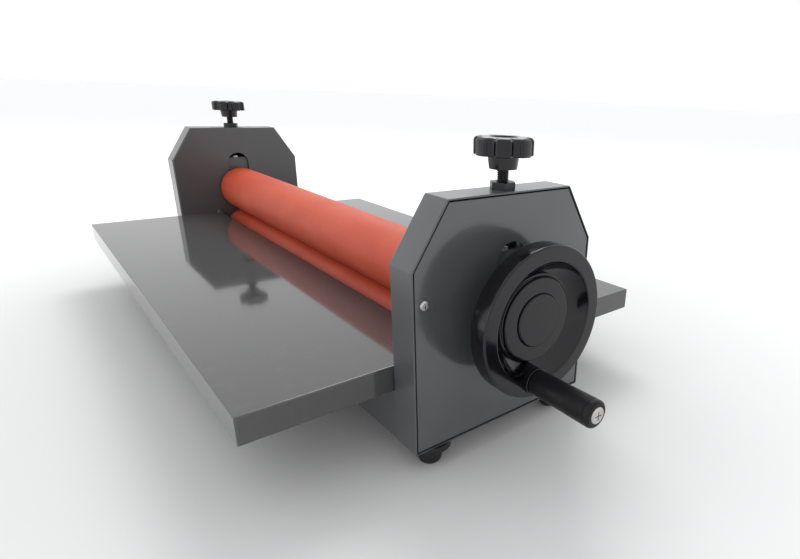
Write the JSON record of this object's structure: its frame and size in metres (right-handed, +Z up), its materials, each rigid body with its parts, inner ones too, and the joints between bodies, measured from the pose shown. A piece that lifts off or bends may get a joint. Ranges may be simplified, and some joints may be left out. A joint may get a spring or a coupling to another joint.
{
  "type": "cold roll laminator",
  "caption": "Hand-cranked desktop cold laminator: two silicone rollers between sheet-metal side casings, folding work tables, star-knob pressure screws and a handwheel.",
  "frame": {"origin": "centre of the four rubber feet, on the bench they stand on", "axes": "+X along the rollers towards the handwheel, -Y towards the operator on the infeed side, +Z up"},
  "size_m": [0.8419, 0.43, 0.2676],
  "materials": {
    "casing_paint": "dark grey powder coat, semi-gloss",
    "cover_paint": "dark grey baked enamel, glossy",
    "table_paint": "grey baked enamel, glossy",
    "roller_silicone": "ground silicone rubber, satin",
    "gloss_black_plastic": "moulded phenolic, polished",
    "matte_black_plastic": "moulded, fine matte texture",
    "machined_steel": "turned or milled",
    "zinc_steel": "bright zinc plating",
    "black_steel": "black oxide, lightly oiled",
    "spring_steel": "hard drawn wire",
    "sintered_bronze": "oil-filled sintered bronze",
    "foot_rubber": "moulded"
  },
  "bodies": {
    "frame": {"cross_panel_nuts": "zinc_steel", "cross_panel_screws": "zinc_steel", "foot_nuts": "zinc_steel", "foot_studs": "zinc_steel", "front_cross_panel": "casing_paint", "left_cover_screws": "zinc_steel", "left_front_foot": "foot_rubber", "left_guide_rails": "machined_steel", "left_lift_springs": "spring_steel", "left_lower_bearing_block": "casing_paint", "left_lower_bearing_bush": "sintered_bronze", "left_pressure_bush": "black_steel", "left_rear_foot": "foot_rubber", "left_side_casing": "casing_paint", "left_side_cover": "cover_paint", "left_top_block": "black_steel", "rear_cross_panel": "casing_paint", "right_cover_screws": "zinc_steel", "right_front_foot": "foot_rubber", "right_guide_rails": "machined_steel", "right_lift_springs": "spring_steel", "right_lower_bearing_block": "casing_paint", "right_lower_bearing_bush": "sintered_bronze", "right_pressure_bush": "black_steel", "right_rear_foot": "foot_rubber", "right_side_casing": "casing_paint", "right_side_cover": "cover_paint", "right_top_block": "black_steel", "table_pin_nuts": "zinc_steel", "table_pins": "casing_paint", "top_block_screws": "casing_paint"},
    "upper_carriage": {"right_upper_bearing_block": "casing_paint", "right_upper_bearing_bush": "sintered_bronze", "left_upper_bearing_block": "casing_paint", "left_upper_bearing_bush": "sintered_bronze", "thrust_washers": "zinc_steel"},
    "right_screw": {"right_pressure_screw": "black_steel", "right_pressure_knob": "gloss_black_plastic"},
    "left_screw": {"left_pressure_screw": "black_steel", "left_pressure_knob": "gloss_black_plastic"},
    "upper_roller": {"upper_roller_rubber": "roller_silicone", "upper_roller_tube": "machined_steel", "left_upper_roller_journal": "machined_steel", "right_upper_roller_journal": "machined_steel", "upper_roller_rings": "spring_steel", "handwheel": "gloss_black_plastic", "handwheel_key": "machined_steel", "handwheel_washer": "zinc_steel", "handwheel_bolt": "zinc_steel", "handwheel_cap": "gloss_black_plastic", "grip_bolt": "zinc_steel"},
    "lower_roller": {"lower_roller_rubber": "roller_silicone", "lower_roller_tube": "machined_steel", "left_lower_roller_journal": "machined_steel", "right_lower_roller_journal": "machined_steel", "lower_roller_rings": "spring_steel"},
    "grip": {"grip": "matte_black_plastic"},
    "front_table": {"front_table": "table_paint"},
    "rear_table": {"rear_table": "table_paint"}
  },
  "joints": [
    {"name": "right_knob_turn", "type": "hinge", "parent": "upper_carriage", "child": "right_screw", "pos_m": [0.3455, 0, 0.2495], "axis": [0, 0, 1], "range_deg": [0, 4801]},
    {"name": "left_knob_turn", "type": "hinge", "parent": "upper_carriage", "child": "left_screw", "pos_m": [-0.3455, 0, 0.2495], "axis": [0, 0, 1], "range_deg": [0, 4801]},
    {"name": "upper_roller_lift", "type": "slide", "parent": "frame", "child": "upper_carriage", "axis": [0, 0, 1], "range_m": [0, 0.02], "deforming": ["right_lift_springs", "left_lift_springs"]},
    {"name": "crank_spin", "type": "hinge", "parent": "upper_carriage", "child": "upper_roller", "pos_m": [0.361, 0, 0.1285], "axis": [1, 0, 0], "continuous": true},
    {"name": "lower_roller_spin", "type": "hinge", "parent": "frame", "child": "lower_roller", "pos_m": [0.345, 0, 0.0601], "axis": [1, 0, 0], "continuous": true},
    {"name": "grip_spin", "type": "hinge", "parent": "upper_roller", "child": "grip", "pos_m": [0.44, -0.0115, 0.082], "axis": [1, 0, 0], "continuous": true},
    {"name": "front_table_fold", "type": "hinge", "parent": "frame", "child": "front_table", "pos_m": [0.3277, -0.0395, 0.0903], "axis": [-1, 0, 0], "range_deg": [0, 90]},
    {"name": "rear_table_fold", "type": "hinge", "parent": "frame", "child": "rear_table", "pos_m": [0.3277, 0.0395, 0.0903], "axis": [1, 0, 0], "range_deg": [0, 90]}
  ],
  "couplings": [
    {"joint": "right_knob_turn", "follows": "upper_roller_lift", "rad_per_m": 4188.8},
    {"joint": "left_knob_turn", "follows": "upper_roller_lift", "rad_per_m": 4188.8},
    {"joint": "lower_roller_spin", "follows": "crank_spin", "ratio": -1}
  ]
}
